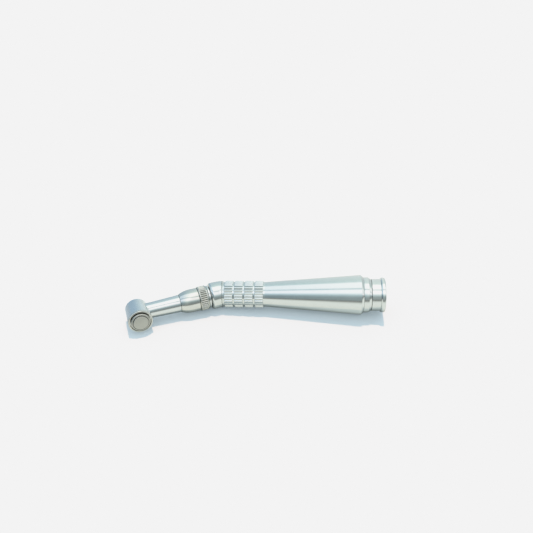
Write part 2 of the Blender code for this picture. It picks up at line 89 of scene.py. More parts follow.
def node(tree, kind, place, **values):
    """Add a shader node; keys of values are socket names or, failing that, properties."""
    made = tree.nodes.new(kind)
    made.location = place
    for key, value in values.items():
        name = key.replace("_", " ")
        if name in made.inputs:
            made.inputs[name].default_value = value
        else:
            setattr(made, key, value)
    return made


def grey(level):
    """A neutral colour."""
    return (level, level, level)


def ramp(tree, value, stops, place):
    """The colour that (position, colour) stops give for a value from 0 to 1."""
    made = node(tree, "ShaderNodeValToRGB", place)
    elements = made.color_ramp.elements
    while len(elements) < len(stops):
        elements.new(0.5)
    for element, (position, colour) in zip(elements, stops):
        element.position = position
    for element, (position, colour) in zip(elements, stops):
        element.color = (*colour, 1.0)
    tree.links.new(value, made.inputs[0])
    return made.outputs[0]


def graded(tree, value, stops, place):
    """The colour that (number, colour) stops give for a value of any range."""
    first, last = stops[0][0], stops[-1][0]
    spread = node(tree, "ShaderNodeMapRange", place, From_Min=first, From_Max=last)
    tree.links.new(value, spread.inputs["Value"])
    shares = [((number - first) / (last - first), colour) for number, colour in stops]
    return ramp(tree, spread.outputs[0], shares, (place[0] + 200, place[1]))


def times(tree, first, second, place):
    """The product of two colours."""
    made = node(tree, "ShaderNodeVectorMath", place, operation="MULTIPLY")
    tree.links.new(first, made.inputs[0])
    tree.links.new(second, made.inputs[1])
    return made.outputs[0]


def mixed(tree, share, first, second, place):
    """Two shaders, mixed by a number or by what a socket says."""
    made = node(tree, "ShaderNodeMixShader", place)
    if isinstance(share, float):
        made.inputs[0].default_value = share
    else:
        tree.links.new(share, made.inputs[0])
    tree.links.new(first, made.inputs[1])
    tree.links.new(second, made.inputs[2])
    return made.outputs[0]


# ---------------------------------------------------------------- camera
CAMERA_PLACE = (35.6, -185.4, 117.3)     # from the bend, along BODY's axes
CAMERA_FORWARD = (-0.0753, 0.8689, -0.4892)
CAMERA_RIGHT = (0.9972, 0.0666, -0.0353)
LENS = 36.47
SENSOR = 36.0
NEAREST = 0.01              # the camera sees nothing closer, in metres


def make_camera():
    """A close camera that looks down at the object from the front."""
    data = bpy.data.cameras.new("camera")
    data.lens = LENS
    data.sensor_width = SENSOR
    data.clip_start = NEAREST
    camera = bpy.data.objects.new("camera", data)
    bpy.context.scene.collection.objects.link(camera)
    back = -Vector(CAMERA_FORWARD).normalized()
    right = Vector(CAMERA_RIGHT)
    right = (right - back * right.dot(back)).normalized()
    camera.matrix_world = BODY @ axis_matrix(Vector(CAMERA_PLACE) * MM, back, right)
    bpy.context.scene.camera = camera


# White paper comes out just short of white; brighter levels run up to that softly.
WHITE_LEVEL = 0.896
EXPOSURE_CURVE = (
    (0.0, 0.0),
    (0.7, 0.7),
    (0.85, 0.815),
    (0.98, 0.88),
    (1.07, WHITE_LEVEL),
    (1.6, WHITE_LEVEL),
)
COMBINED_CURVE = 3          # the curve that acts on all three colours


def expose():
    """Soft shoulder at the top of the tone scale."""
    settings = bpy.context.scene.view_settings
    settings.view_transform = "Standard"
    settings.use_curve_mapping = True
    mapping = settings.curve_mapping
    top = EXPOSURE_CURVE[-1][0]
    mapping.white_level = grey(top)
    points = mapping.curves[COMBINED_CURVE].points
    while len(points) < len(EXPOSURE_CURVE):
        points.new(0.5, 0.5)
    for point, (level, shown) in zip(points, EXPOSURE_CURVE):
        point.location = (level / top, shown)
        point.handle_type = "VECTOR"
    mapping.update()


# ---------------------------------------------------------------- surroundings and light
# What the metal mirrors above the horizon, by the angle from straight up in degrees: below 0
# behind the object, above 0 in front of it. A wide softbox hangs overhead and a second one in
# front of it, and the room is dark lower down in front.
STUDIO = (
    (-180, (0.95, 1.02, 1.05)),
    (-90, (0.95, 1.02, 1.05)),
    (-40, (0.98, 1.1, 1.1)),
    (-26, (1.0, 1.13, 1.13)),
    (-18, (1.75, 1.75, 1.75)),
    (13, (1.75, 1.75, 1.75)),
    (18, (0.92, 1.04, 1.08)),
    (23, (0.92, 1.04, 1.08)),
    (27, (1.9, 1.85, 1.9)),
    (43, (1.85, 1.8, 1.85)),
    (53, (1.05, 1.18, 1.22)),
    (62, (0.65, 0.77, 0.8)),
    (72, (0.46, 0.53, 0.55)),
    (90, (0.42, 0.48, 0.48)),
    (180, (0.42, 0.48, 0.48)),
)
# The room to the left is darker and bluer than the rest; the first number is how far a
# direction points to the right.
SIDES = (
    (-1.0, (0.6, 0.7, 0.8)),
    (-0.75, (0.5, 0.6, 0.72)),
    (-0.5, (0.52, 0.62, 0.74)),
    (-0.15, (0.76, 0.83, 0.88)),
    (0.0, (0.92, 0.95, 0.96)),
    (0.12, (1.0, 1.0, 1.0)),
    (0.35, (0.78, 0.8, 0.81)),
    (1.0, (0.7, 0.72, 0.74)),
)
AMBIENT = (0.75, 0.92, 1.02)        # the light that the room adds to matt surfaces
BACKDROP = grey(1.06)               # the room as the camera sees it
SUN_COLOUR = (1.0, 0.70, 0.54)
SUN_STRENGTH = 2.35
SUN_ELEVATION = 74.0
SUN_SIZE = 3.0
SUN_PLACE = (0, 0.3, 0.8)           # only where its marker stands; a sun has no distance


def mirrored_room(tree):
    """The room's colour in the metal, by the direction in which it is mirrored."""
    direction = node(tree, "ShaderNodeTexCoord", (-1200, 0))
    split = node(tree, "ShaderNodeSeparateXYZ", (-1000, 0))
    tree.links.new(direction.outputs["Generated"], split.inputs[0])
    front = node(tree, "ShaderNodeMath", (-800, 100), operation="MULTIPLY")
    front.inputs[1].default_value = -1.0
    tree.links.new(split.outputs["Y"], front.inputs[0])
    angle = node(tree, "ShaderNodeMath", (-600, 0), operation="ARCTAN2")
    tree.links.new(front.outputs[0], angle.inputs[0])
    tree.links.new(split.outputs["Z"], angle.inputs[1])
    stops = [(math.radians(degrees), colour) for degrees, colour in STUDIO]
    boxes = graded(tree, angle.outputs[0], stops, (-400, 0))
    sides = graded(tree, split.outputs["X"], SIDES, (-400, -300))
    return times(tree, boxes, sides, (-50, -200))


def make_world():
    """Plain pale surroundings; glossy surfaces see softboxes instead."""
    world = bpy.data.worlds.new("studio")
    bpy.context.scene.world = world
    world.use_nodes = True
    tree = world.node_tree
    tree.nodes.clear()
    path = node(tree, "ShaderNodeLightPath", (-200, 400))
    diffuse = node(tree, "ShaderNodeBackground", (100, 200), Color=(*AMBIENT, 1))
    glossy = node(tree, "ShaderNodeBackground", (100, 0))
    tree.links.new(mirrored_room(tree), glossy.inputs[0])
    seen = node(tree, "ShaderNodeBackground", (100, -200), Color=(*BACKDROP, 1))
    is_glossy = path.outputs["Is Glossy Ray"]
    is_camera = path.outputs["Is Camera Ray"]
    room = mixed(tree, is_glossy, diffuse.outputs[0], glossy.outputs[0], (350, 100))
    whole = mixed(tree, is_camera, room, seen.outputs[0], (550, 0))
    out = node(tree, "ShaderNodeOutputWorld", (750, 0))
    tree.links.new(whole, out.inputs[0])


def make_sun():
    """The one light that throws a defined shadow, high up and a little behind the object."""
    data = bpy.data.lights.new("key", "SUN")
    data.energy = SUN_STRENGTH
    data.color = SUN_COLOUR
    data.angle = math.radians(SUN_SIZE)
    light = bpy.data.objects.new("key", data)
    bpy.context.scene.collection.objects.link(light)
    light.rotation_euler = (math.radians(SUN_ELEVATION - 90), 0, 0)
    light.location = SUN_PLACE
    light.visible_glossy = False


# ---------------------------------------------------------------- floor
FLOOR_REACH = 4.0
FLOOR_ALBEDO = 0.9
FLOOR_GRAIN = 0.005                 # how much its grain lightens and darkens it
FLOOR_GRAIN_SCALE = 900.0
FLOOR_FILL = (0.5, 0.62, 0.69)      # a painted glow that evens out the shadow
FLOOR_FILL_SHARE = 0.3
# How bright the table top looks in the metal, by the distance towards the back
FLOOR_MIRRORED = (
    (-0.25, 0.25),
    (-0.09, 0.32),
    (-0.05, 0.5),
    (-0.032, 0.88),
    (-0.02, 1.0),
    (0.03, 1.0),
    (0.08, 0.85),
    (0.25, 0.8),
)
FLOOR_GLOW = 0.55                   # the part of that which a shadow doesn't take away
# The tone of the table top in the metal, by the distance to the right: bluish left of the object
FLOOR_LEFT = (
    (-0.12, (0.5, 0.6, 0.68)),
    (-0.058, (0.58, 0.67, 0.74)),
    (-0.046, (0.97, 1.04, 1.02)),
    (0.12, (0.97, 1.04, 1.02)),
)
# How much of its glow is left under the object, by the distance behind the object's bent axis
FLOOR_UNDER = (
    (-0.0075, 1.0),
    (-0.0035, 0.15),
    (0.0035, 0.15),
    (0.0075, 1.0),
)


def shade_under(tree, split):
    """How much the table top glows, by the distance to the object's bent axis."""
    slope = to_head.y / to_head.x
    steps = (
        ("SUBTRACT", bend_point.x),
        ("MINIMUM", 0.0),
        ("MULTIPLY", slope),
        ("ADD", bend_point.y),
    )
    value = split.outputs["X"]
    for i, (operation, number) in enumerate(steps):
        step = node(tree, "ShaderNodeMath", (-900 + 160 * i, -900), operation=operation)
        step.inputs[1].default_value = number
        tree.links.new(value, step.inputs[0])
        value = step.outputs[0]
    offset = node(tree, "ShaderNodeMath", (-200, -900), operation="SUBTRACT")
    tree.links.new(split.outputs["Y"], offset.inputs[0])
    tree.links.new(value, offset.inputs[1])
    stops = [(distance, grey(level)) for distance, level in FLOOR_UNDER]
    return graded(tree, offset.outputs[0], stops, (-50, -900))


def seen_floor(tree, shade):
    """The table top as the camera sees it, with a painted glow that lightens the shadow."""
    matt = node(tree, "ShaderNodeBsdfDiffuse", (200, 0))
    tree.links.new(shade, matt.inputs["Color"])
    # painted glow: an emission mixed into the floor lightens its shadow
    fill = node(tree, "ShaderNodeEmission", (200, 150), Color=(*FLOOR_FILL, 1))
    return mixed(tree, FLOOR_FILL_SHARE, matt.outputs[0], fill.outputs[0], (350, 100))


def mirrored_floor(tree, coords, shade):
    """The table top as the metal mirrors it, darker far in front and to the left."""
    split = node(tree, "ShaderNodeSeparateXYZ", (-700, -300))
    tree.links.new(coords, split.inputs[0])
    stops = [(distance, grey(level)) for distance, level in FLOOR_MIRRORED]
    fading = graded(tree, split.outputs["Y"], stops, (-500, -300))
    left = graded(tree, split.outputs["X"], FLOOR_LEFT, (-500, -600))
    toned = times(tree, fading, left, (0, -400))
    faded = times(tree, shade, toned, (0, -200))
    lit = node(tree, "ShaderNodeBsdfDiffuse", (200, -200))
    tree.links.new(faded, lit.inputs["Color"])
    glow = node(tree, "ShaderNodeEmission", (200, -350))
    tree.links.new(faded, glow.inputs["Color"])
    tree.links.new(shade_under(tree, split), glow.inputs["Strength"])
    return mixed(tree, FLOOR_GLOW, lit.outputs[0], glow.outputs[0], (350, -250))


def floor_material():
    """Pale and finely grained."""
    mat = bpy.data.materials.new("floor")
    mat.use_nodes = True
    tree = mat.node_tree
    tree.nodes.clear()
    coords = node(tree, "ShaderNodeTexCoord", (-900, 0)).outputs["Object"]
    grain = node(tree, "ShaderNodeTexNoise", (-700, 0), Scale=FLOOR_GRAIN_SCALE, Detail=3.0)
    tree.links.new(coords, grain.inputs["Vector"])
    low, high = NOISE_SPAN
    stops = [(low, grey(FLOOR_ALBEDO - FLOOR_GRAIN)), (high, grey(FLOOR_ALBEDO + FLOOR_GRAIN))]
    shade = ramp(tree, grain.outputs["Fac"], stops, (-450, 0))
    path = node(tree, "ShaderNodeLightPath", (200, 300))
    seen = seen_floor(tree, shade)
    mirrored = mirrored_floor(tree, coords, shade)
    both = mixed(tree, path.outputs["Is Glossy Ray"], seen, mirrored, (450, 0))
    out = node(tree, "ShaderNodeOutputMaterial", (650, 0))
    tree.links.new(both, out.inputs["Surface"])
    return mat


def make_floor():
    """A wide table top."""
    bm = bmesh.new()
    bmesh.ops.create_grid(bm, x_segments=8, y_segments=8, size=FLOOR_REACH)
    mesh = bpy.data.meshes.new("floor")
    bm.to_mesh(mesh)
    bm.free()
    mesh.materials.append(floor_material())
    floor = bpy.data.objects.new("floor", mesh)
    bpy.context.scene.collection.objects.link(floor)


# ---------------------------------------------------------------- metals
SHADED_HOLLOWS = (0.44, 0.495)         # pointiness where the painted shade in the hollows is darkest, and where it fades out
EDGES = (0.52, 0.6)             # pointiness of the least worn edges, and of the most worn
EDGE_POLISH = 0.05              # how much less rough the most worn edges are
CLOUD_SCALE = 0.35              # clouds to the millimetre
SAND_SCALE = 9.0
MARK_SHAPE = (0.02, 0.02, 1.0)  # stretches the turning marks round the axis


def mottled_and_shaded_colour(tree, cloud, pointiness, colour, mottle, hollow_shading):
    """A colour that wanders with the clouds, with shade painted into the hollows."""
    low, high = NOISE_SPAN
    tint = ramp(tree, cloud, [
        (low, tuple(c * (1 - mottle) for c in colour)),
        (0.5, colour),
        (high, tuple(min(1.0, c * (1 + 0.5 * mottle)) for c in colour)),
    ], (-500, 500))
    # painted shade: the base colour is darkened where the pointiness shows a hollow
    darkest, faintest = SHADED_HOLLOWS
    stops = [(darkest, grey(1.0 - hollow_shading)), (faintest, grey(1.0))]
    hollow = ramp(tree, pointiness, stops, (-750, 750))
    return times(tree, tint, hollow, (-200, 500))


def worn_roughness(tree, cloud, pointiness, roughness, smudge):
    """A roughness that is clouded by handling and smoother where edges are worn."""
    low, high = NOISE_SPAN
    clouded = node(tree, "ShaderNodeMapRange", (-500, 250), From_Min=low, From_Max=high)
    clouded.inputs["To Min"].default_value = roughness - smudge / 2
    clouded.inputs["To Max"].default_value = roughness + smudge
    tree.links.new(cloud, clouded.inputs["Value"])
    least, most = EDGES
    edge = node(tree, "ShaderNodeMapRange", (-750, 0), From_Min=least, From_Max=most)
    edge.inputs["To Max"].default_value = EDGE_POLISH
    tree.links.new(pointiness, edge.inputs["Value"])
    worn = node(tree, "ShaderNodeMath", (-250, 200), operation="SUBTRACT", use_clamp=True)
    tree.links.new(clouded.outputs[0], worn.inputs[0])
    tree.links.new(edge.outputs[0], worn.inputs[1])
    return worn.outputs[0]


def marked_normal(tree, place, lines, line_scale, grit):
    """The turning marks round the piece's own Z axis, and a blasted grain over them."""
    along = node(tree, "ShaderNodeVectorMath", (-1000, -300), operation="MULTIPLY")
    along.inputs[1].default_value = MARK_SHAPE
    tree.links.new(place, along.inputs[0])
    marks = node(tree, "ShaderNodeTexNoise", (-750, -300), Scale=line_scale, Detail=3.0)
    tree.links.new(along.outputs[0], marks.inputs["Vector"])
    turning = node(tree, "ShaderNodeBump", (-400, -300), Strength=1.0, Distance=lines * MM)
    tree.links.new(marks.outputs["Fac"], turning.inputs["Height"])
    sand = node(tree, "ShaderNodeTexNoise", (-750, -600), Scale=SAND_SCALE, Detail=5.0, Roughness=0.7)
    tree.links.new(place, sand.inputs["Vector"])
    grain = node(tree, "ShaderNodeBump", (-150, -300), Strength=1.0, Distance=grit * MM)
    tree.links.new(sand.outputs["Fac"], grain.inputs["Height"])
    tree.links.new(turning.outputs["Normal"], grain.inputs["Normal"])
    return grain.outputs["Normal"]


def metal(name, colour, roughness, lines=0.0, line_scale=14.0, smudge=0.04, mottle=0.0,
          metallic=1.0, grit=0.0, hollow_shading=0.5):
    """A turned metal.

    lines is the depth of the turning marks that run round the piece's own Z axis in mm,
    line_scale how many there are to the millimetre, smudge how much handling clouds the gloss,
    mottle how much the colour wanders, grit the depth of a blasted grain in mm, and the last
    argument how much shade is painted into the hollows.
    """
    mat = bpy.data.materials.new(name)
    mat.use_nodes = True
    tree = mat.node_tree
    shader = tree.nodes["Principled BSDF"]
    shader.inputs["Metallic"].default_value = metallic
    coords = node(tree, "ShaderNodeTexCoord", (-1500, 0))
    in_mm = node(tree, "ShaderNodeVectorMath", (-1300, 0), operation="SCALE", Scale=1 / MM)
    tree.links.new(coords.outputs["Object"], in_mm.inputs[0])
    place = in_mm.outputs[0]
    clouds = node(tree, "ShaderNodeTexNoise", (-1000, 300), Scale=CLOUD_SCALE, Detail=4.0, Roughness=0.6)
    tree.links.new(place, clouds.inputs["Vector"])
    cloud = clouds.outputs["Fac"]
    pointiness = node(tree, "ShaderNodeNewGeometry", (-1000, 0)).outputs["Pointiness"]
    mottled_and_shaded = mottled_and_shaded_colour(tree, cloud, pointiness, colour, mottle, hollow_shading)
    worn = worn_roughness(tree, cloud, pointiness, roughness, smudge)
    marked = marked_normal(tree, place, lines, line_scale, grit)
    tree.links.new(mottled_and_shaded, shader.inputs["Base Color"])
    tree.links.new(worn, shader.inputs["Roughness"])
    tree.links.new(marked, shader.inputs["Normal"])
    return mat


# How much the hollows darken in these looks is painted shade.
METAL_LOOKS = {
    "satin_steel": dict(
        colour=(0.64, 0.66, 0.63), roughness=0.15, lines=0.0003, mottle=0.02, hollow_shading=0.65,
    ),
    "polished_steel": dict(
        colour=(0.64, 0.66, 0.64), roughness=0.12, lines=0.0002, mottle=0.02,
    ),
    "head_steel": dict(
        colour=(0.62, 0.66, 0.66), roughness=0.25, lines=0.0006, line_scale=9.0, mottle=0.04,
    ),
    "sleeve_steel": dict(
        colour=(0.62, 0.62, 0.57), roughness=0.12, lines=0.0003, mottle=0.03,
    ),
    "warm_nickel": dict(
        colour=(0.53, 0.53, 0.48), roughness=0.18, lines=0.0003, mottle=0.06, hollow_shading=0.9,
    ),
    "bezel_nickel": dict(
        colour=(0.62, 0.62, 0.57), roughness=0.16, lines=0.0003, mottle=0.04,
    ),
    "matt_steel": dict(
        colour=(0.46, 0.455, 0.405), roughness=0.42, lines=0.0004, mottle=0.05, grit=0.0012,
    ),
    "bearing_steel": dict(
        colour=(0.6, 0.61, 0.62), roughness=0.12, lines=0.0002, mottle=0.02,
    ),
    "dark_steel": dict(
        colour=(0.3, 0.31, 0.33), roughness=0.3, lines=0.0006, mottle=0.1,
    ),
    "bronze": dict(
        colour=(0.62, 0.46, 0.26), roughness=0.28, lines=0.0005, mottle=0.1,
    ),
    "rubber": dict(
        colour=(0.03, 0.03, 0.03), roughness=0.55, smudge=0.1, mottle=0.2, metallic=0.0, grit=0.002,
    ),
}
METALS = {name: metal(name, **look) for name, look in METAL_LOOKS.items()}


# ---------------------------------------------------------------- mesh tools
def rounded(corners):
    """A closed outline from (radius, height, fillet) corners; the fillet may be left out."""
    points = []
    count = len(corners)
    for i, corner in enumerate(corners):
        here = Vector(corner[:2])
        fillet = corner[2] if len(corner) > 2 else 0.0
        before = Vector(corners[i - 1][:2]) - here
        after = Vector(corners[(i + 1) % count][:2]) - here
        opening = before.angle(after)
        if fillet <= 0 or opening > NEARLY_STRAIGHT:
            points.append(tuple(here))
            continue
        longest = FILLET_SHARE * min(before.length, after.length)
        reach = min(fillet / math.tan(opening / 2), longest)
        radius = reach * math.tan(opening / 2)
        start = here + before.normalized() * reach
        halfway = (before.normalized() + after.normalized()).normalized()
        middle = here + halfway * (radius / math.sin(opening / 2))
        arm = start - middle
        sweep = math.pi - opening
        if before.x * after.y - before.y * after.x > 0:
            sweep = -sweep
        for k in range(ROUND_STEPS + 1):
            turn = Matrix.Rotation(sweep * k / ROUND_STEPS, 2)
            points.append(tuple(middle + turn @ arm))
    return points


def circle(radius, centre, sides):
    """Points (u, v) of a small circle about a centre."""
    angles = [math.tau * k / sides for k in range(sides)]
    return [(centre[0] + radius * math.cos(a), centre[1] + radius * math.sin(a)) for a in angles]


def ring(radius, height, sides, shape=None, depth=0.0):
    """Points of a circle about Z; depth * shape(angle) is taken off its radius."""
    points = []
    for k in range(sides):
        angle = math.tau * k / sides
        r = radius - (depth * shape(angle) if shape else 0.0)
        points.append(Vector((r * math.cos(angle), r * math.sin(angle), height)))
    return points


def skin(name, rows, wrap=True):
    """Skin rings of points in mm into a mesh.

    Each row is one ring. wrap joins the last row to the first; otherwise the ends are capped.
    """
    count = len(rows[0])
    verts = [point * MM for row in rows for point in row]
    faces = []
    for i in range(len(rows) if wrap else len(rows) - 1):
        j = (i + 1) % len(rows)
        for k in range(count):
            m = (k + 1) % count
            faces.append((i * count + k, i * count + m, j * count + m, j * count + k))
    if not wrap:
        faces.append(tuple(range(count)))
        faces.append(tuple(range(len(verts) - count, len(verts))))
    mesh = bpy.data.meshes.new(name)
    mesh.from_pydata(verts, [], faces)
    bm = bmesh.new()
    bm.from_mesh(mesh)
    bmesh.ops.remove_doubles(bm, verts=bm.verts, dist=WELD * MM)
    bmesh.ops.dissolve_degenerate(bm, edges=bm.edges, dist=WELD * MM)
    bmesh.ops.recalc_face_normals(bm, faces=bm.faces)
    bm.to_mesh(mesh)
    bm.free()
    return mesh


def mesh_piece(name, matrix, rows, body, look, nodes, wrap=True):
    """A finished piece from rings of points in mm, in the piece's own axes."""
    mesh = skin(name, rows, wrap)
    mesh.shade_smooth()
    mesh.set_sharp_from_angle(angle=math.radians(SHARP_ANGLE))
    mesh.materials.append(METALS[look])
    piece = bpy.data.objects.new(name, mesh)
    bpy.context.scene.collection.objects.link(piece)
    piece.matrix_world = matrix
    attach(piece, body)
    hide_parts(*nodes)
    return piece


def even_normals(piece):
    """Keep flat faces flat between their rounded edges."""
    piece.modifiers.new("even_normals", "WEIGHTED_NORMAL").keep_sharp = True


def turned(name, matrix, corners, body, look, nodes, sides=SMALL_SIDES):
    """A turned piece with rounded edges."""
    rows = [ring(max(r, 0.0), z, sides) for r, z in rounded(corners)]
    piece = mesh_piece(name, matrix, rows, body, look, nodes)
    even_normals(piece)
    return piece


def cut(piece, tool_rows, matrix):
    """Cut a hole of the given rings out of a piece and leave the result in its mesh."""
    mesh = skin("cutter", tool_rows, wrap=False)
    tool = bpy.data.objects.new("cutter", mesh)
    bpy.context.scene.collection.objects.link(tool)
    tool.matrix_world = matrix
    modifier = piece.modifiers.new("hole", "BOOLEAN")
    modifier.object = tool
    modifier.operation = "DIFFERENCE"
    modifier.solver = "EXACT"
    bpy.context.view_layer.update()
    graph = bpy.context.evaluated_depsgraph_get()
    piece.modifiers.move(len(piece.modifiers) - 1, 0)
    bpy.context.view_layer.update()
    result = bpy.data.meshes.new_from_object(piece.evaluated_get(graph))
    old = piece.data
    piece.modifiers.clear()
    piece.data = result
    bpy.data.meshes.remove(old)
    bpy.data.objects.remove(tool)
    bpy.data.meshes.remove(mesh)


# ---------------------------------------------------------------- the bent sheath
FLUTES = 32
FLUTE_SIDES = 10            # points across one flute
FLUTE_DEPTH = 0.31
FLUTE_HOLLOW = 1.8          # 2 would be a round hollow, more a flatter one
SHEATH_BORE = 3.65
SPIGOT_RADIUS = 4.3         # of the room for the neck's spigot and gears
BAND_RADIUS = 5.4
LINE_RADIUS = 5.24          # of the fine line round the shoulder
GROOVE_RADIUS = 5.02
CONE_RADIUS = 5.05
CONE_END_RADIUS = 8.0
HOUSING_BORE = 5.46
COUPLING_BORE = 6.18
GROOVE_WIDTH = 0.86
FIRST_GROOVE_END = 2.42     # the first groove is a little wider
GROOVE_SLOPE = 0.1
FLUTE_OVERLAP = 0.2         # how far the flutes reach past the outer bands' edges
GROOVES = [1.9 + 4.1 * i for i in range(5)]
BEND_REACH = 1.45           # how far the rounded bend reaches along each axis
BEND_ROWS = 9
BORE_ROWS = 7


def bent(station, radius, angle):
    """A point of the bent body, in BODY's axes. station > 0 lies on the handle, < 0 on the neck."""
    bend_radius = BEND_REACH / math.tan(BEND / 2)
    inner = radius * math.cos(angle)
    up = radius * math.sin(angle)
    turn = BEND * min(1.0, max(0.0, (BEND_REACH - station) / (2 * BEND_REACH)))
    x = BEND_REACH - (bend_radius - inner) * math.sin(turn)
    y = -bend_radius + (bend_radius - inner) * math.cos(turn)
    straight = station - BEND_REACH if station > BEND_REACH else min(0.0, station + BEND_REACH)
    if straight > 0:
        x += straight
    else:
        x += straight * math.cos(BEND)
        y += straight * math.sin(BEND)
    return Vector((x, y, up))


def flute(angle):
    """Depth of the hollow flutes, from 0 on the ridge between two to 1 in the middle of one."""
    across = (angle * FLUTES / math.tau) % 1.0
    return 1.0 - abs(2 * across - 1) ** FLUTE_HOLLOW


def shoulder_corners():
    """The front face, the round shoulder, the bend and the fine line behind it."""
    corners = [(4.42, -4.35), (4.78, -4.35, 0.15), (BAND_RADIUS, -3.82, 0.7)]
    corners += [(BAND_RADIUS, BEND_REACH * (k / 5 - 1)) for k in range(BEND_ROWS)]
    corners += [
        (BAND_RADIUS, 1.04, 0.02),
        (LINE_RADIUS, 1.07),
        (LINE_RADIUS, 1.17),
        (BAND_RADIUS - 0.015, 1.2, 0.02),
        (GROOVE_RADIUS, 1.66, 0.1),
    ]
    return corners


def grip_corners():
    """The grip bands, from the first groove's far side to the last groove."""
    half = GROOVE_WIDTH / 2
    corners = []
    for i, groove in enumerate(GROOVES):
        last = i == len(GROOVES) - 1
        floor = CONE_RADIUS if last else GROOVE_RADIUS
        start = groove - half
        if i:
            corners += [(BAND_RADIUS, start, 0.18), (floor, start + GROOVE_SLOPE, 0.08)]
        if not last:
            end = groove + half if i else FIRST_GROOVE_END
            corners += [(floor, end - GROOVE_SLOPE, 0.08), (BAND_RADIUS, end, 0.18)]
    return corners


def sheath_corners():
    """(radius, station, fillet) corners of the sheath, from the front face to the rear and back."""
    corners = shoulder_corners() + grip_corners()
    corners += [
        (CONE_RADIUS, GROOVES[-1] + GROOVE_WIDTH / 2, 0.3),
        (CONE_END_RADIUS, 56.9, 0.3),
        (7.3, 57.8, 0.12),
        (6.2, 57.8, 0.1),
        (COUPLING_BORE, 43.5),
        (HOUSING_BORE, 43.5),
        (HOUSING_BORE, 32.5),
        (SPIGOT_RADIUS, 32.5),
        (SPIGOT_RADIUS, 6.8),
        (SHEATH_BORE, 6.8),
    ]
    corners += [(SHEATH_BORE, BEND_REACH * (1 - k / 3)) for k in range(BORE_ROWS)]
    corners += [(SHEATH_BORE, -1.8), (4.38, -1.8)]
    return corners


def make_sheath():
    """The handle's shell with its fluted grip bands."""
    sides = FLUTES * FLUTE_SIDES
    first = FIRST_GROOVE_END - FLUTE_OVERLAP
    last = GROOVES[-1] - GROOVE_WIDTH / 2 + FLUTE_OVERLAP
    # the shell's own Z axis lies along the handle, so that its turning marks run round it
    lie = (BODY.inverted() @ HANDLE).inverted()
    rows = []
    for radius, station in rounded(sheath_corners()):
        depth = 0.0
        if first < station < last and radius > GROOVE_RADIUS:
            depth = FLUTE_DEPTH * (radius - GROOVE_RADIUS) / (BAND_RADIUS - GROOVE_RADIUS)
        row = []
        for k in range(sides):
            angle = math.tau * k / sides
            point = bent(station, radius - depth * flute(angle), angle)
            row.append(lie @ (point * MM) / MM)
        rows.append(row)
    steel = "satin_steel"
    even_normals(mesh_piece("sheath", HANDLE, rows, "handle", steel, ("sheath_body",)))


# ---------------------------------------------------------------- the rear coupling
SOCKET_RADIUS = 5.31
SOCKET_GROOVE_RADIUS = 5.8
SOCKET_GROOVES = ((62.1, 63.0), (55.7, 56.5))       # for the seal and for the latch wire
SEAL_THICKNESS = 0.34               # radius of the seal's own round section
SEAL_PLACE = (5.41, 62.55)          # (radius, height) of the middle of that section
SEAL_SIDES = 16
WIRE_THICKNESS = 0.3
WIRE_PLACE = (5.42, 56.1)
WIRE_SIDES = 12
WIRE_GAP = 30.0                     # degrees of the ring that the latch wire leaves open
WIRE_ROWS = 90
DOG_SLOT = (0.65, 3.0)              # half the width and half the length of the slot in the dog
DOG_SLOT_HEIGHTS = (41.8, 44.8)
PIN_RADIUS = 0.5
PIN_HEIGHT = 39.2
PIN_SIDES = 24


def coupling_corners():
    """(radius, height, fillet) corners of the stepped tube."""
    corners = [
        (SOCKET_RADIUS, 44.2, 0.1),
        (6.1, 44.2, 0.1),
        (6.1, 57.85),
        (7.05, 57.85, 0.08),
        (7.05, 59.8, 0.25),
        (6.4, 60.85, 0.1),
        (6.2, 60.9),
        (6.2, 61.04),
        (6.4, 61.08, 0.04),
        (6.4, 64.55, 0.12),
        (6.76, 64.66, 0.1),
        (6.96, 64.95, 0.25),
        (6.96, 65.95, 0.3),
        (6.78, 66.3, 0.12),
        (SOCKET_RADIUS + 0.32, 66.3, 0.05),
        (SOCKET_RADIUS, 66.0, 0.05),
    ]
    for low, high in SOCKET_GROOVES:
        corners += [
            (SOCKET_RADIUS, high, 0.05),
            (SOCKET_GROOVE_RADIUS, high, 0.05),
            (SOCKET_GROOVE_RADIUS, low, 0.05),
            (SOCKET_RADIUS, low, 0.05),
        ]
    return corners


def make_latch_wire():
    """The open spring ring in the socket."""
    gap = math.radians(WIRE_GAP)
    section = circle(WIRE_THICKNESS, WIRE_PLACE, WIRE_SIDES)
    rows = []
    for i in range(WIRE_ROWS):
        angle = gap / 2 + (math.tau - gap) * i / (WIRE_ROWS - 1)
        out = Vector((math.cos(angle), math.sin(angle), 0))
        rows.append([out * u + Vector((0, 0, v)) for u, v in section])
    steel = "dark_steel"
    mesh_piece("latch_wire", HANDLE, rows, "handle", steel, ("latch_ring",), wrap=False)


def make_motor_dog():
    """The slotted end of the drive shaft, with the hole of its pin."""
    dog = turned("motor_dog", HANDLE, [
        (1.56, 37.2), (1.9, 37.2, 0.1), (2.2, 37.5, 0.1), (2.2, 43.45, 0.15), (1.9, 43.8, 0.1),
        (1.56, 43.8),
    ], "drive_shaft", "satin_steel", ("drive_dog",))
    x, y = DOG_SLOT
    corners = ((-x, -y), (x, -y), (x, y), (-x, y))
    cut(dog, [[Vector((*corner, z)) for corner in corners] for z in DOG_SLOT_HEIGHTS], HANDLE)
    section = circle(PIN_RADIUS, (0.0, PIN_HEIGHT), PIN_SIDES)
    cut(dog, [[Vector((u, side, v)) for u, v in section] for side in (-y, y)], HANDLE)


